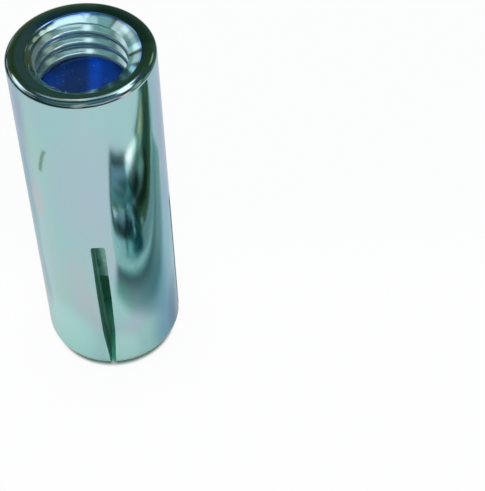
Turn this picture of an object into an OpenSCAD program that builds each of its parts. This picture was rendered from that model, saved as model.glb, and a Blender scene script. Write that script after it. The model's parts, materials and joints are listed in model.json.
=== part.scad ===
// Drop-in anchor: a slotted steel sleeve with an internal thread, the tapered plug that spreads it,
// and the plastic insert that closes the thread. It stands on its slotted end, with the mouth up.
// Lengths are millimetres, Z runs along the axis and z = 0 is the slotted end face.

/* [Sleeve] */
// Overall length of the sleeve
sleeve_len = 63.5; // [58:0.5:80]
// Outside diameter of the sleeve
sleeve_d = 22.225; // [20.5:0.005:26]
// Radius of the rounding on the outer rim of the mouth
rim_r = 0.7; // [0.3:0.1:1.2]
// Diameter of the countersink where it meets the mouth face
mouth_d = 17.1; // [16:0.1:18.8]
// Depth of the countersink below the mouth face
mouth_depth = 1.4; // [0.8:0.1:2.5]

/* [Thread] */
// Diameter of the threaded bore at the thread crests (5/8-11 UNC)
thread_crest_d = 13.6; // [13.3:0.05:14.2]
// Depth of the threaded bore below the mouth face
thread_depth = 24; // [20:0.5:26]

/* [Spreading end] */
// Diameter of the plain chamber below the thread, which holds the head of the plug
chamber_d = 13.2; // [12:0.1:13.2]
// Length of the chamber, from the end of the thread down to where it starts to taper in
chamber_len = 8.5; // [7.5:0.5:13]
// Height above the end face where the taper meets the end hole
taper_foot = 8; // [5:0.5:12]
// Diameter of the hole through the end face
end_hole_d = 8.8; // [7:0.1:9.4]
// Size of the chamfer on the end hole
end_hole_chamfer = 0.6; // [0.2:0.1:1]

/* [Nose] */
// Height of the bulged bevel round the end face
nose_h = 3.2; // [1.5:0.1:4.5]
// Width of the bevel, measured inwards from the outside of the sleeve
nose_w = 2.8; // [1.5:0.1:4]
// How far the bevel bulges outside a straight chamfer
nose_bulge = 0.6; // [0.2:0.05:0.8]

/* [Slots] */
// Number of slots, which is also the number of leaves
slot_count = 4; // [2:1:6]
// Length of the slots, measured from the end face
slot_len = 32.3; // [24:0.1:36]
// Width of a slot at its inner end
slot_w = 2.2; // [1.2:0.1:3]
// Height above the end face where a slot starts to narrow
slot_pinch_z = 20; // [15:0.5:22]
// Width of a slot where it starts to narrow faster
slot_mid_w = 1.95; // [1:0.05:3]
// Height above the end face where a slot starts to narrow faster
slot_mid_z = 11; // [8:0.5:13]
// Width of a slot at the nose, where the leaves are pressed together
slot_end_w = 1; // [0.6:0.05:2.4]
// Height above the end face from which the pressed width runs down to it
slot_end_z = 4; // [2:0.5:6]
// Radius of the two corners at the inner end of a slot
slot_corner_r = 0.45; // [0.2:0.05:0.55]

/* [Plug] */
// Diameter of the plug's lower end
plug_tip_d = 10.6; // [9.6:0.1:12]
// Length of the straight head above the plug's cone
plug_head_len = 8; // [4:0.5:8.5]
// Chamfer on both ends of the plug
plug_chamfer = 0.5; // [0.2:0.1:1]
// Gap between the plug's cone and the taper of the sleeve
plug_cone_gap = 0.05; // [0.03:0.01:0.08]
// Gap between the plug's head and the chamber
plug_head_gap = 0.15; // [0.05:0.05:0.3]

/* [Insert] */
// Depth of the insert's top below the mouth face
insert_depth = 7.5; // [4:0.5:9]
// Length of the insert along the axis
insert_len = 8; // [5:0.5:10]
// Thickness of the insert's closed top
insert_top = 2; // [1:0.1:3]
// Thickness of the insert's skirt
insert_wall = 1.5; // [0.8:0.1:2.5]
// How far the insert's skirt reaches out past the thread crests
insert_bite = 0.3; // [0.2:0.05:0.8]
// Gap all round between the insert and its seat in the thread
insert_gap = 0.05; // [0.02:0.01:0.1]

/* [Hidden] */
$fn = 96;

arc_steps = 8;
cut_past = 1;

sleeve_r = sleeve_d / 2;
mouth_r = mouth_d / 2;
crest_r = thread_crest_d / 2;
chamber_r = chamber_d / 2;
end_hole_r = end_hole_d / 2;
thread_end_z = sleeve_len - thread_depth;
// The chamber opens to the thread over a 45 degree step
chamber_top_z = thread_end_z - (crest_r - chamber_r);
taper_top_z = thread_end_z - chamber_len;
// Rise of a quarter circle of radius 1 above its chord
quarter_rise = 1 - cos(45);

// Radius gained by the inner taper for each millimetre of height
taper_slope = (chamber_r - end_hole_r) / (taper_top_z - taper_foot);

// The plug has the sleeve's own taper and sits in it with an even gap
plug_tip_r = plug_tip_d / 2;
plug_head_r = chamber_r - plug_head_gap;
plug_tip_z = taper_foot + (plug_tip_r + plug_cone_gap - end_hole_r) / taper_slope;
plug_shoulder_z = plug_tip_z + (plug_head_r - plug_tip_r) / taper_slope;
plug_top_z = plug_shoulder_z + plug_head_len;

// The insert lies in a shallow seat, where its skirt fills the thread
insert_top_z = sleeve_len - insert_depth;
insert_foot_z = insert_top_z - insert_len;
seat_r = crest_r + insert_bite;
insert_r = seat_r - insert_gap;

// Points along the arc from a to b that stands rise outside the straight line on its right
function arc_points(a, b, rise, steps = arc_steps) =
    let (
        run = b - a,
        chord = norm(run),
        radius = chord * chord / (8 * rise) + rise / 2,
        outward = [run.y, -run.x] / chord,
        centre = (a + b) / 2 - outward * (radius - rise),
        half_angle = asin(chord / (2 * radius)),
        middle = atan2(outward.y, outward.x)
    )
    [for (i = [0:steps])
        let (angle = middle + half_angle * (2 * i / steps - 1))
        centre + radius * [cos(angle), sin(angle)]];

// Half section of the sleeve before it is slotted: outside first, then down the bore
function sleeve_outline() = concat(
    [[end_hole_r + end_hole_chamfer, 0]],
    arc_points([sleeve_r - nose_w, 0], [sleeve_r, nose_h], nose_bulge),
    arc_points([sleeve_r, sleeve_len - rim_r], [sleeve_r - rim_r, sleeve_len], rim_r * quarter_rise),
    [
        [mouth_r, sleeve_len],
        [crest_r, sleeve_len - mouth_depth],
        [crest_r, insert_top_z + insert_gap],
        [seat_r, insert_top_z + insert_gap],
        [seat_r, insert_foot_z - insert_gap],
        [crest_r, insert_foot_z - insert_gap],
        [crest_r, thread_end_z],
        [chamber_r, chamber_top_z],
        [chamber_r, taper_top_z],
        [end_hole_r, taper_foot],
        [end_hole_r, end_hole_chamfer]
    ]
);

// Face of one slot, with its centre line on Y: it narrows to the nose and has two small corners
module slot_face() {
    corner_x = slot_w / 2 - slot_corner_r;
    corner_y = slot_len - slot_corner_r;
    polygon([
        [-slot_end_w / 2, -cut_past],
        [slot_end_w / 2, -cut_past],
        [slot_end_w / 2, slot_end_z],
        [slot_mid_w / 2, slot_mid_z],
        [slot_w / 2, slot_pinch_z],
        [slot_w / 2, corner_y],
        [-slot_w / 2, corner_y],
        [-slot_w / 2, slot_pinch_z],
        [-slot_mid_w / 2, slot_mid_z],
        [-slot_end_w / 2, slot_end_z]
    ]);
    translate([-corner_x, corner_y - slot_corner_r])
        square([2 * corner_x, 2 * slot_corner_r]);
    for (side = [-1, 1])
        translate([side * corner_x, corner_y])
            circle(r = slot_corner_r, $fn = 24);
}

// One slot from the axis out through the wall, along +X
module slot_cut() {
    rotate([90, 0, 90])
        linear_extrude(height = sleeve_r + cut_past)
            slot_face();
}

// The sleeve is one cold-formed piece: bore, taper, end hole and slots are cut into it
module sleeve() {
    color([0.66, 0.75, 0.77])
        difference() {
            rotate_extrude()
                polygon(sleeve_outline());
            for (i = [0:slot_count - 1])
                rotate([0, 0, i * 360 / slot_count - 90])
                    slot_cut();
        }
}

// The steel plug waits in the taper, and is driven down to spread the leaves
module expander_plug() {
    color([0.55, 0.57, 0.58])
        rotate_extrude()
            polygon([
                [0, plug_tip_z],
                [plug_tip_r - plug_chamfer, plug_tip_z],
                [plug_tip_r + plug_chamfer * taper_slope, plug_tip_z + plug_chamfer],
                [plug_head_r, plug_shoulder_z],
                [plug_head_r, plug_top_z - plug_chamfer],
                [plug_head_r - plug_chamfer, plug_top_z],
                [0, plug_top_z]
            ]);
}

// The moulded insert is a shallow cup with its closed top up, gripped by the thread
module thread_insert() {
    color([0.03, 0.22, 0.55])
        rotate_extrude()
            polygon([
                [0, insert_top_z],
                [insert_r, insert_top_z],
                [insert_r, insert_foot_z],
                [insert_r - insert_wall, insert_foot_z],
                [insert_r - insert_wall, insert_top_z - insert_top],
                [0, insert_top_z - insert_top]
            ]);
}

sleeve();
expander_plug();
thread_insert();
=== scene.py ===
"""A drop-in anchor, standing on its slotted end with the threaded mouth up.

The sleeve is lathed, then slotted and threaded with shaped cutters. The spreading plug keeps its
solid and gets its finish, and the plastic insert is turned to its moulded form. All sizes come from
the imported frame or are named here, in metres unless a name says otherwise.
"""

import functools
import json
import logging
import math
from dataclasses import dataclass
from enum import Enum
from typing import Any, Callable, Iterable, Optional, Sequence, Union

import bmesh
import bpy
from mathutils import Matrix, Vector

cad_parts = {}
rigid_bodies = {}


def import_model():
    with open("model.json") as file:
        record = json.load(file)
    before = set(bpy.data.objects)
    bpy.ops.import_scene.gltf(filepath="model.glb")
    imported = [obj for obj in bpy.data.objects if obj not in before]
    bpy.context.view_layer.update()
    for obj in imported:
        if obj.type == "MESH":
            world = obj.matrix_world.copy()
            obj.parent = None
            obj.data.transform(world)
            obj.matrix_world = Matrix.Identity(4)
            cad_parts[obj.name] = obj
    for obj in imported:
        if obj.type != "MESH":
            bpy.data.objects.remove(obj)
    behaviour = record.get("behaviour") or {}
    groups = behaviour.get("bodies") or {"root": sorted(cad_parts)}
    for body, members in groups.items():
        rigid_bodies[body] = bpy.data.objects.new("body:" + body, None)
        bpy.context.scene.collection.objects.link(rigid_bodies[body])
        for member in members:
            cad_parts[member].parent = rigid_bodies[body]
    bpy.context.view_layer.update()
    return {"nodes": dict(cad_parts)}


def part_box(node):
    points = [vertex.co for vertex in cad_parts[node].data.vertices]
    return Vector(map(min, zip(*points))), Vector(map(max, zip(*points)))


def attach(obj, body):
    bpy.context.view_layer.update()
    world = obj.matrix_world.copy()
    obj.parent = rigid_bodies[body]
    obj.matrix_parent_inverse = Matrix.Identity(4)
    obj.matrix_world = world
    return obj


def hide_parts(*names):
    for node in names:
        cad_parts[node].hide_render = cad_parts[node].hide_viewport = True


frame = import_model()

MM = 0.001
IMAGE_SIZE = (485, 491)
log = logging.getLogger("drop_in_anchor")


class Slot(Enum):
    """The record's material slots, which name the finishes too."""

    ZINC = "zinc_plate"
    PLUG = "plug_steel"
    PLASTIC = "blue_plastic"


class Bench:
    """The everyday moves on a mesh, each made with Blender's own operators."""

    @staticmethod
    def clear() -> None:
        """Leaves edit mode and deselects everything."""
        if bpy.context.object and bpy.context.object.mode != "OBJECT":
            bpy.ops.object.mode_set(mode="OBJECT")
        bpy.ops.object.select_all(action="DESELECT")

    @staticmethod
    def pick(piece: bpy.types.Object) -> None:
        """Makes piece the one selected and active object."""
        Bench.clear()
        piece.select_set(True)
        bpy.context.view_layer.objects.active = piece

    @staticmethod
    def draw(name: str, points: Sequence[Vector], closed: bool = True) -> bpy.types.Object:
        """Draws an outline by extruding one point from place to place.

        Args:
            name: Name of the new object.
            points: The outline's corners in order.
            closed: Whether the outline ends where it starts.

        Returns:
            The new object, in edit mode with its outline selected.
        """
        Bench.clear()
        bpy.ops.mesh.primitive_plane_add(size=MM, location=(0.0, 0.0, 0.0))
        piece = bpy.context.object
        piece.name = name
        bpy.ops.object.mode_set(mode="EDIT")
        bpy.ops.mesh.select_all(action="SELECT")
        bpy.ops.mesh.merge(type="CENTER")
        bpy.ops.transform.translate(value=points[0])
        route = list(points) + ([points[0]] if closed else [])
        for here, there in zip(route, route[1:]):
            bpy.ops.mesh.extrude_region_move(TRANSFORM_OT_translate={"value": there - here})
        bpy.ops.mesh.select_all(action="SELECT")
        if closed:
            bpy.ops.mesh.remove_doubles(threshold=0.0002 * MM)
        return piece

    @staticmethod
    def lathe(name: str, outline: Sequence[Vector], segments: int, closed: bool = True) -> bpy.types.Object:
        """Spins a half section round Z into a closed solid.

        Args:
            name: Name of the new object.
            outline: Half section in the XZ plane.
            segments: Number of steps round the axis.
            closed: Whether the section closes on itself, or starts and ends on the axis.

        Returns:
            The new object, in object mode.
        """
        piece = Bench.draw(name, outline, closed)
        bpy.ops.mesh.spin(steps=segments, angle=math.tau, center=(0.0, 0.0, 0.0), axis=(0.0, 0.0, 1.0))
        bpy.ops.mesh.select_all(action="SELECT")
        bpy.ops.mesh.remove_doubles(threshold=0.002 * MM)
        bpy.ops.mesh.normals_make_consistent(inside=False)
        bpy.ops.object.mode_set(mode="OBJECT")
        return piece

    @staticmethod
    def select_vertices(piece: bpy.types.Object, test: Callable[[Vector], bool]) -> None:
        """Selects the vertices of a mesh in edit mode whose place passes the test."""
        bpy.ops.mesh.select_mode(type="VERT")
        bpy.ops.mesh.select_all(action="DESELECT")
        mesh = bmesh.from_edit_mesh(piece.data)
        for vertex in mesh.verts:
            vertex.select = test(vertex.co)
        mesh.select_flush_mode()
        bmesh.update_edit_mesh(piece.data)

    @staticmethod
    def join(pieces: Iterable[bpy.types.Object]) -> bpy.types.Object:
        """Joins the pieces into the first of them and returns it."""
        pieces = list(pieces)
        Bench.clear()
        for piece in pieces:
            piece.select_set(True)
        bpy.context.view_layer.objects.active = pieces[0]
        bpy.ops.object.join()
        return pieces[0]

    @staticmethod
    def cut(piece: bpy.types.Object, cutter: bpy.types.Object) -> None:
        """Cuts the cutter out of piece and throws the cutter away."""
        Bench.pick(piece)
        step = piece.modifiers.new("cut", "BOOLEAN")
        step.operation = "DIFFERENCE"
        step.solver = "EXACT"
        step.object = cutter
        bpy.ops.object.modifier_apply(modifier=step.name)
        bpy.data.objects.remove(cutter)

    @staticmethod
    def smooth(piece: bpy.types.Object, angle_deg: float) -> None:
        """Shades piece smooth up to an angle, with normals weighted to the larger faces."""
        Bench.pick(piece)
        bpy.ops.object.shade_smooth_by_angle(angle=math.radians(angle_deg))
        step = piece.modifiers.new("even_normals", "WEIGHTED_NORMAL")
        step.keep_sharp = True
        bpy.ops.object.modifier_apply(modifier=step.name)

    @staticmethod
    def dress(piece: bpy.types.Object, finish: bpy.types.Material) -> None:
        """Gives piece one material."""
        piece.data.materials.clear()
        piece.data.materials.append(finish)


def at(r: float, z: float) -> Vector:
    """A point of a half section, r from the axis and z up."""
    return Vector((r, 0.0, z))


def arc(centre: Vector, radius: float, start_deg: float, end_deg: float, steps: int) -> list[Vector]:
    """Points along an arc in the XZ plane, both ends included.

    Args:
        centre: Centre of the arc.
        radius: Radius of the arc.
        start_deg: Angle of the first point from +X, towards +Z.
        end_deg: Angle of the last point.
        steps: Number of equal steps.

    Returns:
        The points in order.
    """
    angles = [math.radians(start_deg + (end_deg - start_deg) * i / steps) for i in range(steps + 1)]
    return [centre + radius * Vector((math.cos(a), 0.0, math.sin(a))) for a in angles]


def oval(corner: Vector, wide: float, tall: float, steps: int) -> list[Vector]:
    """Points along the quarter of an oval that rounds off an upper outer corner, lowest first."""
    angles = [math.radians(90.0 * i / steps) for i in range(steps + 1)]
    return [corner - at(wide * (1.0 - math.cos(a)), tall * (1.0 - math.sin(a))) for a in angles]


def bulged(a: Vector, b: Vector, rise: float, steps: int) -> list[Vector]:
    """Points along the arc from a to b that stands rise outside the straight line, on its right."""
    run = b - a
    chord = run.length
    radius = chord * chord / (8.0 * rise) + rise / 2.0
    outward = Vector((run.z, 0.0, -run.x)) / chord
    centre = (a + b) / 2.0 - outward * (radius - rise)
    half = math.degrees(math.asin(chord / (2.0 * radius)))
    middle = math.degrees(math.atan2(outward.z, outward.x))
    return arc(centre, radius, middle - half, middle + half, steps)


@dataclass(frozen=True)
class ThreadForm:
    """The 60 degree inch thread in the sleeve's bore."""

    pitch: float = 25.4 / 11 * MM
    root_r: float = 15.875 / 2 * MM
    crest_r: float = 6.8 * MM
    start_share: float = 0.5
    crest_share: float = 0.30
    crest_round: float = 0.55 * MM
    crest_arc_deg: tuple = (192.0, 240.0)
    crest_steps: int = 5
    flank_deg: float = 30.0
    root_round: float = 0.1 * MM
    root_flat_share: float = 0.6
    overlap: float = 0.3 * MM

    def groove(self) -> list[Vector]:
        """Section of the groove: rounded crest edges, 60 degree flanks and a rounded root."""
        flank = math.tan(math.radians(self.flank_deg))
        mouth = self.pitch * (1.0 - self.crest_share) / 2.0
        root = mouth - (self.root_r - self.crest_r) * flank
        centre = at(self.crest_r + self.crest_round, mouth + self.crest_round * flank)
        edge = arc(centre, self.crest_round, *self.crest_arc_deg, self.crest_steps)
        upper = [
            at(self.crest_r - self.overlap, edge[0].z),
            *edge,
            at(self.root_r - self.root_round, root + self.root_round * flank),
            at(self.root_r, root * self.root_flat_share),
        ]
        return upper + [Vector((p.x, 0.0, -p.z)) for p in reversed(upper)]

    def tap(self, low_z: float, high_z: float, segments: int) -> bpy.types.Object:
        """The helical cutter that leaves the thread, right-handed.

        Args:
            low_z: Height of the lowest turn's start.
            high_z: Height that the last turn reaches.
            segments: Steps for each turn.

        Returns:
            The cutter as a closed solid.
        """
        tool = Bench.draw("tap", [p + at(0.0, low_z) for p in self.groove()])
        bpy.ops.object.mode_set(mode="OBJECT")
        step = tool.modifiers.new("helix", "SCREW")
        step.axis = "Z"
        step.angle = math.tau
        step.screw_offset = self.pitch
        step.iterations = math.ceil((high_z - low_z) / self.pitch)
        step.steps = segments
        step.render_steps = segments
        Bench.pick(tool)
        bpy.ops.object.modifier_apply(modifier=step.name)
        bpy.ops.object.mode_set(mode="EDIT")
        bpy.ops.mesh.select_all(action="SELECT")
        bpy.ops.mesh.fill_holes(sides=0)
        bpy.ops.mesh.select_all(action="SELECT")
        bpy.ops.mesh.normals_make_consistent(inside=False)
        bpy.ops.object.mode_set(mode="OBJECT")
        return tool


@dataclass
class Sleeve:
    """The one-piece slotted sleeve: lathed, then cut by four slot cutters and the tap."""

    length: float
    outer_r: float
    crest_r: float
    segments: int = 192
    rim_wide: float = 1.5 * MM
    rim_tall: float = 0.75 * MM
    lip_r: float = 0.45 * MM
    mouth_r: float = 8.55 * MM
    mouth_depth: float = 1.4 * MM
    mouth_shift: tuple = (0.42 * MM, -0.25 * MM, 0.0)
    thread_depth: float = 24.0 * MM
    chamber_r: float = 6.6 * MM
    taper_top: float = 31.0 * MM
    taper_foot: float = 8.0 * MM
    end_hole_r: float = 4.4 * MM
    end_hole_chamfer: float = 0.6 * MM
    nose_h: float = 3.2 * MM
    nose_w: float = 2.8 * MM
    nose_bulge: float = 0.6 * MM
    slot_count: int = 4
    slot_len: float = 32.3 * MM
    slot_w: float = 2.2 * MM
    slot_pinch_z: float = 20.0 * MM
    slot_mid_w: float = 1.95 * MM
    slot_mid_z: float = 11.0 * MM
    slot_end_w: float = 1.0 * MM
    slot_end_z: float = 4.0 * MM
    slot_corner_r: float = 0.45 * MM
    slot_corner_steps: int = 5
    slot_lip: float = 0.14 * MM
    slot_lip_steps: int = 4
    round_steps: int = 12
    lip_steps: int = 4
    sharp_deg: float = 32.0

    def outline(self) -> list[Vector]:
        """Half section: the nose, the outside, the mouth and back down the bore."""
        hold = 0.15 * MM
        cone = math.degrees(math.atan2(self.mouth_depth, self.mouth_r - self.crest_r))
        tangent = self.lip_r * math.tan(math.radians(cone / 2.0))
        lip_centre = at(self.mouth_r + tangent, self.length - self.lip_r)
        step_z = self.length - self.thread_depth
        nose = (at(self.outer_r - self.nose_w, 0.0), at(self.outer_r, self.nose_h))
        return [
            *bulged(*nose, self.nose_bulge, self.round_steps),
            at(self.outer_r, self.nose_h + hold),
            at(self.outer_r, self.length - self.rim_tall - hold),
            *oval(at(self.outer_r, self.length), self.rim_wide, self.rim_tall, self.round_steps),
            at(self.outer_r - self.rim_wide - hold, self.length),
            at(self.mouth_r + tangent + hold, self.length),
            *arc(lip_centre, self.lip_r, 90.0, 90.0 + cone, self.lip_steps),
            at(self.crest_r, self.length - self.mouth_depth),
            at(self.crest_r, step_z),
            at(self.chamber_r, step_z - (self.crest_r - self.chamber_r)),
            at(self.chamber_r, self.taper_top),
            at(self.end_hole_r, self.taper_foot),
            at(self.end_hole_r, self.end_hole_chamfer),
            at(self.end_hole_r + self.end_hole_chamfer, 0.0),
        ]

    def slot_cutter(self) -> bpy.types.Object:
        """One slot's cutter along -Y, flared at the outside to round the slot's edges."""
        start_r = 3.0 * MM
        past = 1.0 * MM
        half = self.slot_w / 2.0
        foot = self.slot_end_w / 2.0
        corner = at(half - self.slot_corner_r, self.slot_len - self.slot_corner_r)
        right = [
            at(foot, -past),
            at(foot, self.slot_end_z),
            at(self.slot_mid_w / 2.0, self.slot_mid_z),
            at(half, self.slot_pinch_z),
            *arc(corner, self.slot_corner_r, 0.0, 90.0, self.slot_corner_steps),
        ]
        face = right + [Vector((-p.x, 0.0, p.z)) for p in reversed(right)]
        tool = Bench.draw("slot_cutter", [p - Vector((0.0, start_r, 0.0)) for p in face])
        bpy.ops.mesh.edge_face_add()
        depth = self.outer_r - self.slot_lip
        bpy.ops.mesh.extrude_region_move(TRANSFORM_OT_translate={"value": (0.0, start_r - depth, 0.0)})
        for i in range(self.slot_lip_steps):
            a, b = (math.radians(90.0 * k / self.slot_lip_steps) for k in (i, i + 1))
            out = self.slot_lip * (math.sin(b) - math.sin(a))
            wide = self.slot_lip * (math.cos(a) - math.cos(b))
            bpy.ops.mesh.extrude_region_move(TRANSFORM_OT_translate={"value": (0.0, -out, 0.0)})
            depth += out
            self._widen(tool, depth, wide)
        Bench.select_vertices(tool, lambda p: abs(p.y + depth) < 0.001 * MM)
        bpy.ops.mesh.extrude_region_move(TRANSFORM_OT_translate={"value": (0.0, -past, 0.0)})
        bpy.ops.mesh.select_all(action="SELECT")
        bpy.ops.mesh.normals_make_consistent(inside=False)
        bpy.ops.object.mode_set(mode="OBJECT")
        return tool

    def _widen(self, tool: bpy.types.Object, depth: float, wide: float) -> None:
        """Moves the cutter's outer face apart by wide on both sides and at its top."""
        near = 0.001 * MM
        top = self.slot_len - self.slot_corner_r + near
        sides = [
            (lambda p: abs(p.y + depth) < near and p.x > 0.0, (wide, 0.0, 0.0)),
            (lambda p: abs(p.y + depth) < near and p.x < 0.0, (-wide, 0.0, 0.0)),
            (lambda p: abs(p.y + depth) < near and p.z > top, (0.0, 0.0, wide)),
        ]
        for test, move in sides:
            Bench.select_vertices(tool, test)
            bpy.ops.transform.translate(value=move)
        Bench.select_vertices(tool, lambda p: abs(p.y + depth) < near)

    def _shift_mouth(self, sleeve: bpy.types.Object) -> None:
        """Moves the lip of the countersink a little off the axis, as it was drilled."""
        Bench.pick(sleeve)
        bpy.ops.object.mode_set(mode="EDIT")
        low = self.length - self.mouth_depth / 2.0
        reach = self.outer_r - self.rim_wide - 0.3 * MM
        Bench.select_vertices(sleeve, lambda p: p.z > low and math.hypot(p.x, p.y) < reach)
        bpy.ops.transform.translate(value=self.mouth_shift)
        bpy.ops.object.mode_set(mode="OBJECT")

    def build(self, thread: ThreadForm) -> bpy.types.Object:
        """Lathes the sleeve, then cuts the slots and the thread.

        Args:
            thread: Form of the internal thread.

        Returns:
            The finished sleeve.
        """
        sleeve = Bench.lathe("sleeve_body", self.outline(), self.segments)
        self._shift_mouth(sleeve)
        cutters = []
        for i in range(self.slot_count):
            tool = self.slot_cutter()
            Bench.pick(tool)
            tool.rotation_euler.z = math.tau * i / self.slot_count
            bpy.ops.object.transform_apply(location=False, rotation=True, scale=False)
            cutters.append(tool)
        low = self.length - self.thread_depth + thread.pitch * thread.start_share
        cutters.append(thread.tap(low, self.length + thread.pitch, self.segments))
        Bench.cut(sleeve, Bench.join(cutters))
        Bench.smooth(sleeve, self.sharp_deg)
        return sleeve


@dataclass
class Insert:
    """The moulded plastic insert: a cup, closed top up, with a shallow dish in its top."""

    low_z: float
    top_z: float
    outer_r: float
    segments: int = 96
    edge_r: float = 0.3 * MM
    edge_steps: int = 5
    dish: float = 0.35 * MM
    dish_steps: int = 10
    top: float = 2.0 * MM
    wall: float = 1.5 * MM
    sharp_deg: float = 40.0

    def build(self) -> bpy.types.Object:
        """Lathes the cup from its dished top round to the underside of the top."""
        dish_r = self.outer_r - 2.0 * self.edge_r
        shares = [i / self.dish_steps for i in range(self.dish_steps + 1)]
        bowl = [at(dish_r * share, self.top_z - self.dish * (1.0 - share ** 2)) for share in shares]
        edge = at(self.outer_r - self.edge_r, self.top_z - self.edge_r)
        inner_r = self.outer_r - self.wall
        outline = [
            *bowl,
            *arc(edge, self.edge_r, 90.0, 0.0, self.edge_steps),
            at(self.outer_r, self.low_z),
            at(inner_r, self.low_z),
            at(inner_r, self.top_z - self.top),
            at(0.0, self.top_z - self.top),
        ]
        insert = Bench.lathe("insert_cup", outline, self.segments, closed=False)
        Bench.smooth(insert, self.sharp_deg)
        return insert


Number = Union[float, "Wire"]


class Wire:
    """A shader value that sums and products can be written with."""

    def __init__(self, graph: "Graph", socket: bpy.types.NodeSocket) -> None:
        """Keeps the graph and the socket that gives the value."""
        self.graph = graph
        self.socket = socket

    def _math(self, operation: str, *values: Number) -> "Wire":
        """One Math node on the values."""
        return self.graph.add("ShaderNodeMath", {"operation": operation}, dict(enumerate(values)))

    def __add__(self, other: Number) -> "Wire":
        """self + other."""
        return self._math("ADD", self, other)

    __radd__ = __add__

    def __sub__(self, other: Number) -> "Wire":
        """self - other."""
        return self._math("SUBTRACT", self, other)

    def __rsub__(self, other: Number) -> "Wire":
        """other - self."""
        return self._math("SUBTRACT", other, self)

    def __mul__(self, other: Number) -> "Wire":
        """self * other."""
        return self._math("MULTIPLY", self, other)

    __rmul__ = __mul__

    def __truediv__(self, other: Number) -> "Wire":
        """self / other."""
        return self._math("DIVIDE", self, other)

    def __rtruediv__(self, other: Number) -> "Wire":
        """other / self."""
        return self._math("DIVIDE", other, self)

    def __pow__(self, other: Number) -> "Wire":
        """self ** other."""
        return self._math("POWER", self, other)

    def __abs__(self) -> "Wire":
        """abs(self)."""
        return self._math("ABSOLUTE", self)

    def least(self, other: Number) -> "Wire":
        """The smaller of the two."""
        return self._math("MINIMUM", self, other)

    def most(self, other: Number) -> "Wire":
        """The larger of the two."""
        return self._math("MAXIMUM", self, other)

    def turn_from(self, other: "Wire") -> "Wire":
        """The angle of the point (other, self), in radians."""
        return self._math("ARCTAN2", self, other)

    def ramp(self, low: float, high: float) -> "Wire":
        """0 below low, 1 above high and a smooth rise between; falls if low is the larger."""
        inputs = {"Value": self, "From Min": low, "From Max": high, "To Min": 0.0, "To Max": 1.0}
        return self.graph.add("ShaderNodeMapRange", {"interpolation_type": "SMOOTHSTEP"}, inputs)


class Graph:
    """The node tree of one material or world, with short ways to add nodes."""

    def __init__(self, owner: Union[bpy.types.Material, bpy.types.World]) -> None:
        """Starts an empty tree for its owner."""
        self.owner = owner
        self.owner.use_nodes = True
        self.tree = self.owner.node_tree
        self.tree.nodes.clear()

    @classmethod
    def of_material(cls, name: str) -> "Graph":
        """Starts a new material of that name."""
        return cls(bpy.data.materials.new(name))

    def node(self, kind: str, settings: dict[str, Any], inputs: dict[Any, Any]) -> bpy.types.Node:
        """Adds any node.

        Args:
            kind: The node's type.
            settings: Its own properties, set first.
            inputs: Values or wires by socket name or number.

        Returns:
            The node.
        """
        node = self.tree.nodes.new(kind)
        for name, value in settings.items():
            setattr(node, name, value)
        for key, value in inputs.items():
            socket = node.inputs[key]
            if isinstance(value, Wire):
                self.tree.links.new(value.socket, socket)
            elif isinstance(value, (tuple, list)) and len(value) == 3 and socket.type == "RGBA":
                socket.default_value = (*value, 1.0)
            else:
                socket.default_value = value
        return node

    def add(self, kind: str, settings: dict[str, Any], inputs: dict[Any, Any], output: Any = 0) -> Wire:
        """Adds any node and returns the wire of one of its outputs."""
        return Wire(self, self.node(kind, settings, inputs).outputs[output])

    def place(self) -> Wire:
        """Object coordinates."""
        return self.add("ShaderNodeTexCoord", {}, {}, "Object")

    def place_mm(self) -> Wire:
        """Object coordinates in millimetres."""
        return self.add("ShaderNodeMapping", {}, {"Vector": self.place(), "Scale": (1.0 / MM,) * 3})

    def split(self, vector: Wire) -> tuple[Wire, Wire, Wire]:
        """The three parts of a vector."""
        node = self.node("ShaderNodeSeparateXYZ", {}, {0: vector})
        return tuple(Wire(self, node.outputs[i]) for i in range(3))

    def stretch(self, vector: Wire, scale: Sequence[float]) -> Wire:
        """The vector with each part scaled."""
        return self.add("ShaderNodeVectorMath", {"operation": "MULTIPLY"}, {0: vector, 1: tuple(scale)})

    def dot(self, vector: Wire, other: Vector) -> Wire:
        """The dot product with a fixed vector."""
        inputs = {0: vector, 1: tuple(other)}
        return self.add("ShaderNodeVectorMath", {"operation": "DOT_PRODUCT"}, inputs, "Value")

    def noise(self, vector: Wire, scale: float, detail: float = 2.0, rough: float = 0.5) -> Wire:
        """Noise from 0 to 1 at a scale in features to the millimetre."""
        inputs = {"Vector": vector, "Scale": scale, "Detail": detail, "Roughness": rough}
        return self.add("ShaderNodeTexNoise", {}, inputs)

    def mix(self, factor: Number, a: Any, b: Any) -> Wire:
        """Colour a where factor is 0 and b where it is 1."""
        node = self.node("ShaderNodeMix", {"data_type": "RGBA"}, {0: factor, 6: a, 7: b})
        return Wire(self, node.outputs[2])

    def bump(self, height: Wire, depth_mm: float, below: Optional[Wire] = None) -> Wire:
        """A normal bent by a height from 0 to 1 that stands for depth_mm."""
        inputs = {"Height": height, "Distance": depth_mm * MM, "Strength": 1.0}
        if below is not None:
            inputs["Normal"] = below
        return self.add("ShaderNodeBump", {}, inputs)

    def glow(self, colour: Any, strength: float = 1.0) -> Wire:
        """A shader that only gives off light."""
        return self.add("ShaderNodeEmission", {}, {"Color": colour, "Strength": strength})

    def finish(self, inputs: dict[str, Any]) -> bpy.types.Material:
        """Adds the surface shader with these inputs and returns the material."""
        return self.show(self.add("ShaderNodeBsdfPrincipled", {}, inputs))

    def show(self, surface: Wire) -> bpy.types.Material:
        """Makes a shader the material's surface and returns the material."""
        self.node("ShaderNodeOutputMaterial", {}, {"Surface": surface})
        return self.owner


@dataclass(frozen=True)
class Tint:
    """A soft patch of colour placed round the sleeve from -Y towards +X: some patches are passivation hues,
    others painted reflection and painted shade.
    """

    colour: tuple
    turn_deg: float
    z_mm: float
    wide_mm: float
    tall_mm: float
    share: float = 1.0


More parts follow.
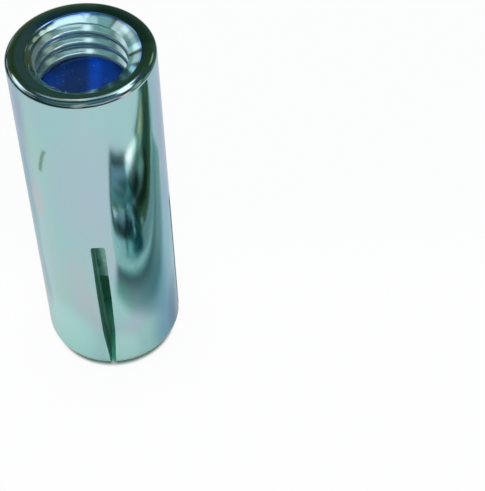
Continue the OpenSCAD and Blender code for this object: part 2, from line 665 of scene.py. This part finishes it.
TEAL = (0.415, 0.650, 0.665)
GREY_LILAC = (0.470, 0.605, 0.675)
LEAF_GREEN = (0.420, 0.680, 0.520)
ROSE = (0.560, 0.570, 0.600)
SEA_BLUE = (0.230, 0.510, 0.600)
DEEP_TEAL = (0.110, 0.320, 0.410)
EDGE_LILAC = (0.420, 0.500, 0.600)
MINT = (0.380, 0.690, 0.640)
SMUDGE = (0.150, 0.270, 0.200)
PALE_MINT = (0.500, 0.860, 0.800)
EDGE_TEAL = (0.160, 0.420, 0.420)
EDGE_STRAW = (0.430, 0.480, 0.430)
EDGE_VIOLET = (0.240, 0.330, 0.440)
DEEP_BLUE = (0.170, 0.380, 0.520)
FOOT_BLUE = (0.030, 0.160, 0.300)
BORE_GREEN = (0.500, 0.920, 0.760)
RIM_SHADE = (0.090, 0.130, 0.160)
SINK_SHADE = (0.130, 0.270, 0.270)
LIP_NAVY = (0.100, 0.260, 0.700)
RIM_OLIVE = (0.500, 0.560, 0.360)
SLOT_GREEN = (0.130, 0.420, 0.320)


@dataclass(frozen=True)
class Drift:
    """A hue that comes and goes over the whole sleeve, drawn out along it."""

    colour: tuple
    scale: float
    start: float
    full: float
    share: float
    along: float = 0.28


@dataclass(frozen=True)
class Zone:
    """A part of the mouth, in millimetres from the axis (r), across (x, y) and above the face (z).

    Each pair says where the zone starts and where it is full.
    """

    r: tuple
    z: tuple
    x: Optional[tuple] = None
    y: Optional[tuple] = None
    share: float = 1.0

    def mask(self, r: Wire, x: Wire, y: Wire, z: Wire) -> Wire:
        """The zone's share inside it and 0 outside."""
        shown = r.ramp(*self.r) * z.ramp(*self.z) * self.share
        if self.x:
            shown = shown * x.ramp(*self.x)
        if self.y:
            shown = shown * y.ramp(*self.y)
        return shown


@dataclass(frozen=True)
class ZincFinish:
    """Bright zinc plate with a blue passivation that shifts to green, lilac and pink, with painted
    reflection and painted shade placed on the sides, the foot, the mouth and inside the slots.
    """

    sleeve_r_mm: float = 11.1125
    mouth_z_mm: float = 63.5
    slot_len_mm: float = 32.3
    slot_reach_mm: tuple = (2.6, 0.6)
    slot_wall_r_mm: tuple = (10.95, 10.6)
    slot_depth_r_mm: tuple = (8.2, 7.0)
    rough: float = 0.08
    cloud_rough: float = 0.04
    scuff_rough: float = 0.20
    smudge_rough: float = 0.20
    inside_rough: float = 0.30
    bore_rough: float = 0.06
    inside_matt: float = 0.8
    bore_matt: float = 0.2
    wave_mm: float = 0.05
    skin_mm: float = 0.0016
    scuff_mm: float = 0.012
    drifts: tuple = (
        Drift(GREY_LILAC, 0.09, 0.42, 0.64, 1.0),
        Drift(LEAF_GREEN, 0.17, 0.52, 0.78, 0.35),
        Drift(ROSE, 0.26, 0.60, 0.85, 0.8, 0.4),
    )
    hues_and_painted_light: tuple = (
        # Passivation hues mixed with painted reflection and painted shade, placed where the metal mirrors
        # its surroundings.
        Tint(GREY_LILAC, 0.0, 44.0, 8.0, 18.0, 0.9),
        Tint(LEAF_GREEN, -46.0, 51.0, 3.6, 9.0, 0.25),
        # Left edge, -84 to -64 degrees: passivation hue together with painted shade, the edge darker and
        # tinted where it mirrors the floor behind at a grazing angle.
        Tint(EDGE_LILAC, -84.0, 52.0, 4.2, 13.0, 1.0),
        Tint(SEA_BLUE, -78.0, 26.0, 3.6, 20.0, 0.8),
        Tint(EDGE_TEAL, -68.0, 36.0, 2.8, 24.0, 0.8),
        Tint(EDGE_STRAW, -75.0, 53.0, 2.0, 7.0, 0.9),
        Tint(EDGE_VIOLET, -66.0, 16.0, 2.8, 13.0, 0.8),
        Tint(EDGE_LILAC, -64.0, 57.0, 3.0, 7.0, 0.8),
        Tint(ROSE, -51.0, 40.0, 2.4, 6.0, 0.7),
        Tint(ROSE, -20.0, 24.0, 3.2, 9.0, 0.5),
        Tint(ROSE, -10.0, 16.0, 5.0, 7.0, 0.5),
        # Painted highlight: a lighter patch at the foot for a brighter floor reflection there.
        Tint(PALE_MINT, -40.0, 7.0, 7.5, 11.0, 0.75),
        # Low on the right: dark blue and teal patches paint the shaded floor that the side mirrors there;
        # the mint patch at the foot is a painted highlight.
        Tint(DEEP_TEAL, 64.0, 16.0, 7.5, 16.0, 0.95),
        Tint(SEA_BLUE, 84.0, 22.0, 6.0, 24.0, 0.8),
        Tint(MINT, 38.0, 6.0, 5.0, 7.0, 0.8),
        Tint(DEEP_BLUE, 68.0, 5.0, 7.0, 12.0, 0.9),
        Tint(FOOT_BLUE, 79.0, 7.0, 4.6, 12.0, 0.9),
        Tint(SEA_BLUE, 70.0, 31.0, 3.6, 12.0, 0.6),
        # Right edge: passivation hue together with painted shade, the edge darker and tinted where it
        # mirrors the floor behind at a grazing angle.
        Tint(EDGE_LILAC, 88.0, 50.0, 4.6, 16.0, 0.9),
        # Painted highlights: lighter patches low at the front for a brighter floor reflection there.
        Tint(PALE_MINT, 10.0, 5.0, 4.0, 7.0, 0.75),
        Tint(MINT, 12.0, 18.0, 2.6, 8.0, 0.8),
    )
    # Painted reflection and painted shade in the mouth: navy on the far right of the lip, olive patches at
    # the left of the rim face, dark on the steep rounding of the rim at the front and far left, dark in the
    # countersink and the top of the thread on the right.
    lip_navy_reflection: Zone = Zone(r=(9.9, 8.9), z=(-0.35, -0.12), share=0.8)
    rim_olive_reflection: Zone = Zone(r=(9.4, 10.4), z=(-1.2, -0.3), x=(9.0, -2.0), share=0.7)
    rim_painted_shade: tuple = (
        Zone(r=(10.5, 10.7), z=(-0.7, -0.45), x=(10.0, 6.0), y=(-5.5, -8.5), share=0.85),
        Zone(r=(10.5, 10.7), z=(-0.7, -0.45), x=(-9.9, -10.4), share=0.85),
    )
    sink_painted_shade: tuple = (
        Zone(r=(8.15, 8.5), z=(-1.2, -0.3), x=(1.5, 3.0), y=(5.0, 6.5), share=0.7),
        Zone(r=(8.15, 8.5), z=(-1.2, -0.3), x=(6.0, 7.0), y=(0.5, 2.0), share=0.7),
        Zone(r=(7.95, 7.4), z=(-1.4, -1.3), x=(4.5, 6.5), share=0.85),
    )
    bore: Zone = Zone(r=(8.3, 8.1), z=(-1.4, -1.5))
    smudge_top: tuple = (-6.34, 52.9)
    smudge_foot: tuple = (-7.95, 47.2)
    smudge_wide_mm: float = 0.42
    smudge_bow_mm: float = 0.2

    def _body(self, g: Graph, place: Wire, round_mm: Wire, z: Wire) -> Wire:
        """The sleeve's colour: broad drifting passivation hues, then the placed patches of passivation hue,
        painted reflection and painted shade.
        """
        colour = TEAL
        for drift in self.drifts:
            hue = g.noise(g.stretch(place, (1.0, 1.0, drift.along)), drift.scale, 1.0)
            colour = g.mix(hue.ramp(drift.start, drift.full) * drift.share, colour, drift.colour)
        for tint in self.hues_and_painted_light:
            across = (round_mm - math.radians(tint.turn_deg) * self.sleeve_r_mm) / tint.wide_mm
            along = (z - tint.z_mm) / tint.tall_mm
            shown = (across * across + along * along).ramp(1.0, 0.0) * tint.share
            colour = g.mix(shown, colour, tint.colour)
        return colour

    def _smudge(self, round_mm: Wire, z: Wire, grain: Wire) -> Wire:
        """A short dark rub mark under the rim: 1 on it and 0 elsewhere."""
        lean = (self.smudge_foot[0] - self.smudge_top[0]) / (self.smudge_foot[1] - self.smudge_top[1])
        middle = (self.smudge_top[1] + self.smudge_foot[1]) / 2.0
        part = (z - middle) / (self.smudge_top[1] - middle)
        bow = (1.0 - part * part) * self.smudge_bow_mm
        offset = abs(round_mm - self.smudge_top[0] - (z - self.smudge_top[1]) * lean + bow)
        body = (offset + (grain - 0.3) * 0.9).ramp(self.smudge_wide_mm + 0.3, self.smudge_wide_mm - 0.15)
        return body * z.ramp(self.smudge_foot[1] - 0.3, self.smudge_foot[1] + 0.8) * z.ramp(
            self.smudge_top[1] + 0.3, self.smudge_top[1] - 0.8
        )

    def _mouth(self, g: Graph, colour: Wire, place: Wire, here: Sequence[Wire]) -> Wire:
        """Adds painted reflection and painted shade to the mouth: navy reflection on the lip, olive
        reflection patches on the rim face, shade on the steep rim and shade in the countersink.

        Args:
            g: The material's graph.
            colour: The colour so far.
            place: The place in millimetres.
            here: Distance from the axis, x, y and height from the mouth face.

        Returns:
            The colour with the mouth's tones.
        """
        _, x, y, _ = here
        far_right = (x * 0.6 + y).ramp(-2.0, 5.0)
        # Painted reflection: navy on the lip and olive patches on the rim face.
        olive_reflection_patches = g.noise(place, 0.45, 3.0).ramp(0.42, 0.62)
        colour = g.mix(self.lip_navy_reflection.mask(*here) * far_right, colour, LIP_NAVY)
        colour = g.mix(self.rim_olive_reflection.mask(*here) * olive_reflection_patches, colour, RIM_OLIVE)
        # Painted shade: dark on the steep rim and in the countersink.
        for zones, tone in ((self.rim_painted_shade, RIM_SHADE), (self.sink_painted_shade, SINK_SHADE)):
            masks = [zone.mask(*here) for zone in zones]
            colour = g.mix(functools.reduce(Wire.most, masks), colour, tone)
        return colour

    def make(self) -> bpy.types.Material:
        """Builds the material."""
        g = Graph.of_material(Slot.ZINC.value)
        place = g.place_mm()
        x, y, z = g.split(place)
        round_mm = x.turn_from(0.0 - y) * self.sleeve_r_mm
        from_axis = (x * x + y * y) ** 0.5
        above = z - self.mouth_z_mm
        here = (from_axis, x, y, above)
        grain = g.noise(place, 5.0, 3.0, 0.6)
        smudge = self._smudge(round_mm, z, grain)
        colour = g.mix(smudge * 0.8, self._body(g, place, round_mm, z), SMUDGE)
        colour = self._mouth(g, colour, place, here)
        # Painted light inside the slots: green tones stand in for the light and reflections seen through
        # them, brighter deeper in.
        past = z - self.slot_len_mm
        inside = from_axis.ramp(*self.slot_wall_r_mm) * past.ramp(0.6, -0.4)
        depth = from_axis.ramp(*self.slot_depth_r_mm)
        colour = g.mix(inside * 0.9, colour, g.mix(depth, SLOT_GREEN, BORE_GREEN))
        beside = abs(x).least(abs(y)).ramp(*self.slot_reach_mm)
        near_slot = beside * past.ramp(3.0, -3.0)
        bore = self.bore.mask(*here)
        rough = g.noise(g.stretch(place, (1.0, 1.0, 0.22)), 0.6, 3.0) * self.cloud_rough + self.rough
        rough = rough + grain.ramp(0.48, 0.62) * near_slot * self.scuff_rough + smudge * self.smudge_rough
        rough = rough + inside * self.inside_rough + bore * self.bore_rough
        metal = 1.0 - inside * self.inside_matt - bore * (1.0 - inside) * self.bore_matt
        swell = g.noise(g.stretch(place, (1.0, 1.0, 0.35)), 0.22, 1.0) - 0.5
        waves = g.bump(swell * above.ramp(-1.0, -3.0), self.wave_mm)
        skin = g.bump(g.noise(place, 2.2, 3.0, 0.6), self.skin_mm, waves)
        worn = g.bump(grain * near_slot, self.scuff_mm, skin)
        return g.finish({"Base Color": colour, "Metallic": metal, "Roughness": rough, "Normal": worn})


@dataclass(frozen=True)
class PlugFinish:
    """Turned steel with fine rings round the axis; its dark, green-tinted colour is painted shade for its
    place down inside the slots.
    """

    pale: tuple = (0.40, 0.66, 0.62)
    dark: tuple = (0.20, 0.42, 0.36)

    def make(self) -> bpy.types.Material:
        """Builds the material."""
        g = Graph.of_material(Slot.PLUG.value)
        place = g.place_mm()
        rings = g.noise(g.stretch(place, (0.05, 0.05, 6.0)), 1.0, 3.0)
        stain_or_light_patch = g.noise(place, 0.5, 3.0)
        # Painted shade: the plug's tones are kept dark and green for its place down inside the slots.
        colour = g.mix(stain_or_light_patch.ramp(0.35, 0.7), self.pale, self.dark)
        return g.finish({
            "Base Color": colour,
            "Metallic": 1.0,
            "Roughness": rings * 0.15 + 0.24,
            "Normal": g.bump(rings, 0.01),
        })


@dataclass(frozen=True)
class PlasticFinish:
    """Glossy deep blue moulded plastic with faint clouding and dust, and a painted reflection: a brighter
    blue band across its top where it mirrors the bright column on the thread.
    """

    deep: tuple = (0.002, 0.020, 0.095)
    bright: tuple = (0.002, 0.055, 0.420)
    dust: tuple = (0.20, 0.32, 0.45)
    column_reflection_x_mm: float = 1.3
    column_reflection_wide_mm: float = 1.6

    def make(self) -> bpy.types.Material:
        """Builds the material."""
        g = Graph.of_material(Slot.PLASTIC.value)
        place = g.place_mm()
        cloud = g.noise(place, 0.22, 2.0)
        across, _, _ = g.split(place)
        # Painted reflection: a brighter blue band across the top where it mirrors the bright column on the
        # thread.
        column_reflection = abs(across - self.column_reflection_x_mm).ramp(self.column_reflection_wide_mm, 0.2)
        colour = g.mix(cloud.ramp(0.35, 0.65) * 0.4 + column_reflection * 0.6, self.deep, self.bright)
        dust = g.noise(place, 2.5, 2.0).ramp(0.70, 0.78)
        colour = g.mix(dust * 0.25, colour, self.dust)
        return g.finish({
            "Base Color": colour,
            "Roughness": dust * 0.3 + 0.26,
            "IOR": 1.5,
            "Normal": g.bump(g.noise(place, 0.9, 2.0), 0.01),
        })


@dataclass(frozen=True)
class View:
    """The camera, fitted to the photograph's outlines of the mouth, the sides and the end."""

    focal_px: float = 1631.3
    depression_deg: float = 49.97
    roll_deg: float = -1.99
    distance: float = 236.35 * MM
    aim_right: float = -23.49 * MM
    aim_up: float = 28.12 * MM

    def build(self, target: Vector) -> bpy.types.Object:
        """Adds the camera.

        Args:
            target: The point that the offsets are measured from, the middle of the mouth.

        Returns:
            The camera object.
        """
        tilt = math.radians(self.depression_deg)
        roll = math.radians(self.roll_deg)
        ahead = Vector((0.0, math.cos(tilt), -math.sin(tilt)))
        level = Vector((1.0, 0.0, 0.0))
        rise = Vector((0.0, math.sin(tilt), math.cos(tilt)))
        right = math.cos(roll) * level + math.sin(roll) * rise
        up = -math.sin(roll) * level + math.cos(roll) * rise
        place = target - (self.aim_right * right + self.aim_up * up + self.distance * ahead)
        data = bpy.data.cameras.new("view")
        data.sensor_fit = "AUTO"
        data.sensor_width = 36.0
        data.lens = self.focal_px / max(IMAGE_SIZE) * data.sensor_width
        data.clip_start = 0.01
        camera = bpy.data.objects.new("view", data)
        bpy.context.scene.collection.objects.link(camera)
        turn = Matrix((right, up, -ahead)).transposed()
        camera.matrix_world = Matrix.Translation(place) @ turn.to_4x4()
        bpy.context.scene.camera = camera
        return camera


def toward(turn_deg: float, rise_deg: float) -> Vector:
    """The direction turned from -Y towards +X and raised from the level."""
    turn, rise = math.radians(turn_deg), math.radians(rise_deg)
    return Vector((math.sin(turn) * math.cos(rise), -math.cos(turn) * math.cos(rise), math.sin(rise)))


@dataclass(frozen=True)
class SoftBox:
    """A square lamp aimed at the target; the metal mirrors the tent's windows, not the lamp."""

    name: str
    turn_deg: float
    rise_deg: float
    distance: float
    size: float
    power: float

    def build(self, target: Vector) -> None:
        """Adds the lamp, facing the target."""
        data = bpy.data.lights.new(self.name, "AREA")
        data.shape = "SQUARE"
        data.size = self.size
        data.energy = self.power
        lamp = bpy.data.objects.new(self.name, data)
        bpy.context.scene.collection.objects.link(lamp)
        out = toward(self.turn_deg, self.rise_deg)
        turn = out.to_track_quat("Z", "Y").to_matrix().to_4x4()
        lamp.matrix_world = Matrix.Translation(target + self.distance * out) @ turn
        lamp.visible_glossy = False


@dataclass(frozen=True)
class Window:
    """A soft-edged patch of light in the tent, which the metal and the plastic mirror."""

    turn_deg: float
    rise_deg: float
    wide_deg: float
    tall_deg: float
    light: tuple
    soft: float = 0.4


@dataclass(frozen=True)
class BarLightPatch:
    """A patch of painted light on the bar, a highlight where bright and shade where dark, placed round it
    from the top and along it.
    """

    colour: tuple
    round_deg: float
    along_mm: float
    wide_deg: float
    long_mm: float
    share: float = 0.9


@dataclass(frozen=True)
class Studio:
    """Pale floor, white surround, two soft boxes, and what the metal mirrors: a dark tent with windows."""

    floor_size: float = 3.0
    # Painted shade on the floor: darker and bluer towards the back, for the reflections at the metal's
    # sides, and green under the anchor, for the shade seen through the slots.
    floor_tones: tuple = ((0.80, 0.82, 0.82), (0.62, 0.66, 0.74))
    foot_tone: tuple = (0.12, 0.62, 0.45)
    boxes: tuple = (
        SoftBox("front_box", 10.0, 62.0, 0.7, 0.16, 1.8),
        SoftBox("top_box", 180.0, 86.0, 0.75, 0.25, 2.2),
    )
    ambient: float = 0.42
    soft_tone: tuple = (0.95, 1.0, 1.0)
    tent_r: float = 0.9
    tent_strength: float = 3.0
    cloth_tones: tuple = ((0.010, 0.020, 0.008), (0.014, 0.027, 0.025))
    cloth_teal: tuple = (0.027, 0.050, 0.050)
    cloth_olive: tuple = (0.030, 0.035, 0.016)
    cloth_navy: tuple = (0.005, 0.015, 0.057)
    cloth_pale: tuple = (0.060, 0.120, 0.120)
    windows: tuple = (
        Window(-55.0, 51.0, 16.0, 9.0, (0.12, 0.17, 0.17)),
        Window(-30.0, 52.0, 9.0, 8.0, (0.27, 0.31, 0.32)),
        Window(42.0, 43.0, 26.0, 9.0, (0.48, 0.47, 0.50)),
        Window(25.0, 55.0, 29.0, 12.0, (0.50, 0.48, 0.54)),
        Window(-14.0, 69.0, 7.0, 19.0, (0.64, 0.60, 0.62), 0.0),
        Window(-9.0, 40.0, 9.0, 22.0, (0.46, 0.46, 0.49), 0.0),
        Window(69.0, 35.0, 9.0, 8.0, (0.46, 0.45, 0.46)),
        Window(60.0, 20.0, 11.0, 23.0, (1.00, 0.62, 0.62)),
        Window(85.0, 30.0, 10.0, 8.0, (0.36, 0.37, 0.32)),
        Window(102.0, 23.0, 9.0, 7.0, (0.16, 0.18, 0.15)),
        Window(118.0, 14.0, 10.0, 6.0, (0.08, 0.10, 0.09)),
        Window(98.0, 48.0, 11.0, 8.0, (0.20, 0.20, 0.16)),
        Window(80.0, 68.0, 22.0, 6.0, (0.14, 0.18, 0.18)),
        Window(143.0, 38.0, 5.0, 7.0, (0.17, 0.17, 0.12)),
        Window(168.0, 60.0, 6.5, 7.0, (0.70, 0.66, 0.72)),
        Window(130.0, 66.0, 15.0, 5.5, (0.74, 0.70, 0.74)),
        Window(-171.0, 59.0, 3.6, 8.0, (0.42, 0.39, 0.42)),
        Window(-157.0, 60.0, 7.0, 6.0, (0.17, 0.17, 0.17)),
        Window(179.0, 60.0, 5.0, 7.0, (0.18, 0.18, 0.19)),
        Window(-111.0, 54.0, 6.0, 5.0, (0.20, 0.23, 0.18)),
        Window(-144.0, 9.0, 8.0, 7.0, (0.24, 0.28, 0.27)),
        Window(-122.0, 25.0, 8.0, 5.0, (0.20, 0.23, 0.25)),
        Window(-131.0, 19.0, 6.0, 6.0, (0.46, 0.49, 0.49)),
        Window(-87.0, 43.0, 9.0, 7.0, (0.32, 0.31, 0.31)),
        Window(-100.0, 37.0, 8.0, 7.0, (0.48, 0.44, 0.45)),
        Window(-112.0, 31.0, 7.0, 6.0, (0.29, 0.28, 0.29)),
        Window(-119.0, 43.0, 12.0, 9.0, (0.56, 0.52, 0.56)),
    )
    # Painted highlights and painted shade on the bar: bright patches for its glint and streak, dark patches
    # where its reflection reads darker.
    bar_light_patches: tuple = (
        BarLightPatch((0.230, 0.400, 0.420), -26.0, -25.0, 12.0, 9.0),
        BarLightPatch((0.080, 0.180, 0.200), 6.0, -23.5, 22.0, 8.0),
        BarLightPatch((0.060, 0.130, 0.100), 14.0, -12.0, 12.0, 5.0),
        BarLightPatch((0.780, 0.980, 0.930), -13.0, -11.0, 12.0, 5.0),
        BarLightPatch((0.960, 0.840, 0.520), -2.0, 9.0, 8.0, 9.0),
        BarLightPatch((0.045, 0.105, 0.065), 29.0, -4.0, 22.0, 10.0),
        BarLightPatch((0.110, 0.230, 0.200), 45.0, -17.0, 12.0, 5.5, 0.8),
        BarLightPatch((0.100, 0.200, 0.230), 51.0, -23.0, 13.0, 5.0),
        BarLightPatch((0.300, 0.480, 0.440), 78.0, 2.0, 15.0, 20.0),
    )
    bar_foot: tuple = (15.0 * MM, -35.0 * MM)
    bar_head: tuple = (58.0 * MM, 11.5 * MM)
    bar_r: float = 11.1 * MM
    bar_round: float = 3.0 * MM
    bar_tones: tuple = ((0.66, 0.96, 0.90), (0.30, 0.50, 0.42))
    bar_shade_wide: float = 20.0 * MM
    bar_shade_tones: tuple = ((0.08, 0.15, 0.14), (0.25, 0.40, 0.38))
    shade_r: float = 0.0097

    def _reflected_only(self, piece: bpy.types.Object) -> None:
        """Lets only mirror reflections see a piece of the stage."""
        piece.visible_camera = False
        piece.visible_diffuse = False
        piece.visible_shadow = False
        piece.visible_transmission = False

    def _tent(self, target: Vector) -> None:
        """The dark tent: green-black, teal and navy overhead, olive low at the back, with its windows."""
        Bench.clear()
        bpy.ops.mesh.primitive_uv_sphere_add(segments=48, ring_count=24, radius=self.tent_r, location=target)
        tent = bpy.context.object
        tent.name = "tent"
        g = Graph.of_material("tent_cloth")
        here = g.place()
        way = g.add("ShaderNodeVectorMath", {"operation": "NORMALIZE"}, {0: here})
        across, back, up = g.split(way)
        patches = g.noise(here, 6.0, 2.0)
        overhead = up.ramp(0.74, 0.92)
        colour = g.mix(patches.ramp(0.45, 0.62), *self.cloth_tones)
        colour = g.mix(up.ramp(0.60, 0.10), colour, self.cloth_teal)
        colour = g.mix(up.ramp(0.55, 0.25) * back.ramp(0.3, 0.8), colour, self.cloth_olive)
        colour = g.mix(overhead * back.ramp(0.02, 0.25) * 0.5, colour, self.cloth_navy)
        colour = g.mix(overhead * back.ramp(0.25, -0.05), colour, self.cloth_pale)
        for window in self.windows:
            middle = toward(window.turn_deg, window.rise_deg)
            level = toward(window.turn_deg + 90.0, 0.0)
            beside = g.dot(way, level) / math.sin(math.radians(window.wide_deg))
            above = g.dot(way, level.cross(middle)) / math.sin(math.radians(window.tall_deg))
            reach = beside * beside + above * above + (patches - 0.5) * 0.8
            shown = reach.ramp(1.0, window.soft) * g.dot(way, middle).ramp(0.0, 0.2)
            colour = g.mix(shown, colour, window.light)
        tent.data.materials.append(g.show(g.glow(colour, self.tent_strength)))
        self._reflected_only(tent)

    def _side_bar(self) -> None:
        """A polished bar lying beside the sleeve, seen only as the dark reflection in its side, with painted
        highlights and painted shade in its colour.
        """
        Bench.clear()
        foot, head = (Vector((*end, self.bar_r)) for end in (self.bar_foot, self.bar_head))
        run = head - foot
        bpy.ops.mesh.primitive_cylinder_add(vertices=96, radius=self.bar_r, depth=run.length)
        bar = bpy.context.object
        bar.name = "side_bar"
        bar.location = (foot + head) / 2.0
        bar.rotation_euler = run.to_track_quat("Z", "Y").to_euler()
        step = bar.modifiers.new("round_ends", "BEVEL")
        step.width = self.bar_round
        step.segments = 6
        step.angle_limit = math.radians(60.0)
        Bench.pick(bar)
        bpy.ops.object.modifier_apply(modifier=step.name)
        bpy.ops.object.shade_smooth_by_angle(angle=math.radians(40.0))
        g = Graph.of_material("polished_bar")
        place = g.place_mm()
        side, top, along = g.split(place)
        round_deg = side.turn_from(top) * math.degrees(1.0)
        grain = g.noise(g.stretch(place, (1.0, 1.0, 0.5)), 0.9, 3.0, 0.65)
        colour = g.mix(grain.ramp(0.40, 0.62) * 0.4, *self.bar_tones)
        # Painted highlights and painted shade laid over the bar's tone.
        for stain_or_light_patch in self.bar_light_patches:
            across = (round_deg - stain_or_light_patch.round_deg) / stain_or_light_patch.wide_deg
            down = (along - stain_or_light_patch.along_mm) / stain_or_light_patch.long_mm
            reach = across * across + down * down + (grain - 0.5) * 0.9
            colour = g.mix(reach.ramp(1.15, 0.6) * stain_or_light_patch.share, colour, stain_or_light_patch.colour)
        dents = g.bump(g.noise(place, 0.35, 3.0, 0.6), 0.05)
        bar.data.materials.append(g.finish({
            "Base Color": colour, "Metallic": 1.0, "Roughness": grain * 0.08 + 0.05, "Normal": dents,
        }))
        self._reflected_only(bar)
        self._bar_shade((foot + head) / 2.0, run)

    def _bar_shade(self, middle: Vector, run: Vector) -> None:
        """The bar's shade on the floor, soft along its sides."""
        Bench.clear()
        low = Vector((middle.x, middle.y, 0.2 * MM))
        bpy.ops.mesh.primitive_plane_add(size=1.0, location=low)
        shade = bpy.context.object
        shade.name = "bar_shade"
        shade.scale = (run.length + 6.0 * MM, 2.0 * self.bar_shade_wide, 1.0)
        shade.rotation_euler.z = math.atan2(run.y, run.x)
        g = Graph.of_material("bar_shade")
        across, along, _ = g.split(g.place())
        body = abs(along * (1.1 - across * 0.6)).ramp(0.5, 0.34) * abs(across).ramp(0.5, 0.44)
        tone = g.mix(abs(along).ramp(0.14, 0.28), *self.bar_shade_tones)
        clear = g.add("ShaderNodeBsdfTransparent", {}, {})
        shown = g.add("ShaderNodeMixShader", {}, {0: body, 1: clear, 2: g.glow(tone)})
        shade.data.materials.append(g.show(shown))
        self._reflected_only(shade)

    def _floor(self) -> None:
        """The pale floor, white to the camera apart from the object's soft shadow, with painted shade in its
        colour: darker and bluer behind, green under the anchor.
        """
        Bench.clear()
        bpy.ops.mesh.primitive_plane_add(size=self.floor_size, location=(0.0, 0.0, 0.0))
        floor = bpy.context.object
        floor.name = "floor"
        g = Graph.of_material("pale_floor")
        x, y, _ = g.split(g.place())
        reach = x * x + y * y
        clear = reach.ramp(self.shade_r ** 2, (self.shade_r * 1.08) ** 2)
        path = g.node("ShaderNodeLightPath", {}, {})
        seen = Wire(g, path.outputs["Is Camera Ray"])
        # Painted shade: darker and bluer behind, green under the anchor.
        tone = g.mix(y.ramp(0.0, 0.03), *self.floor_tones)
        tone = g.mix(reach.ramp(self.shade_r ** 2, (self.shade_r * 0.9) ** 2), tone, self.foot_tone)
        matt = g.add("ShaderNodeBsdfDiffuse", {}, {"Color": tone})
        white = g.glow((1.0, 1.0, 1.0))
        surface = g.add("ShaderNodeMixShader", {}, {0: seen * clear * 0.94, 1: matt, 2: white})
        floor.data.materials.append(g.show(surface))

    def _surround(self) -> None:
        """A world that is white to the camera and to mirrors, and a soft grey light elsewhere."""
        world = bpy.data.worlds.new("surround")
        bpy.context.scene.world = world
        g = Graph(world)
        path = g.node("ShaderNodeLightPath", {}, {})
        camera = Wire(g, path.outputs["Is Camera Ray"])
        glossy = Wire(g, path.outputs["Is Glossy Ray"])
        sent = Wire(g, path.outputs["Is Transmission Ray"])
        soft = g.add("ShaderNodeBackground", {}, {"Color": self.soft_tone, "Strength": self.ambient})
        white = g.add("ShaderNodeBackground", {}, {"Color": (1.0, 1.0, 1.0), "Strength": 1.0})
        blend = g.add("ShaderNodeMixShader", {}, {0: camera.most(glossy).most(sent), 1: soft, 2: white})
        g.node("ShaderNodeOutputWorld", {}, {"Surface": blend})

    def build(self, target: Vector) -> None:
        """Sets floor, surround, lamps, tent and bar round the target."""
        bpy.context.scene.view_settings.view_transform = "Standard"
        self._floor()
        self._surround()
        for box in self.boxes:
            box.build(target)
        self._tent(target)
        self._side_bar()


@dataclass
class Anchor:
    """The whole anchor: sleeve, plug and insert."""

    def build(self) -> None:
        """Builds, dresses and reports each piece."""
        low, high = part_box("sleeve")
        thread = ThreadForm()
        sleeve = Sleeve(length=high.z, outer_r=high.x, crest_r=thread.crest_r).build(thread)
        Bench.dress(sleeve, ZincFinish().make())
        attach(sleeve, "root")
        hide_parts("sleeve")
        log.info("sleeve_body: %d faces", len(sleeve.data.polygons))

        foot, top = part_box("thread_insert")
        insert = Insert(low_z=foot.z, top_z=top.z, outer_r=top.x).build()
        Bench.dress(insert, PlasticFinish().make())
        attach(insert, "root")
        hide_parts("thread_insert")
        log.info("insert_cup: %d faces", len(insert.data.polygons))

        plug = frame["nodes"]["expander_plug"]
        finish = PlugFinish().make()
        for material_slot in plug.material_slots:
            material_slot.material = finish
        log.info("expander_plug: kept, with its finish")


def main() -> None:
    logging.basicConfig(level=logging.INFO, format="%(message)s")
    mouth = Vector((0.0, 0.0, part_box("sleeve")[1].z))
    View().build(mouth)
    Anchor().build()
    Studio().build(mouth)


if __name__ == "__main__":
    main()
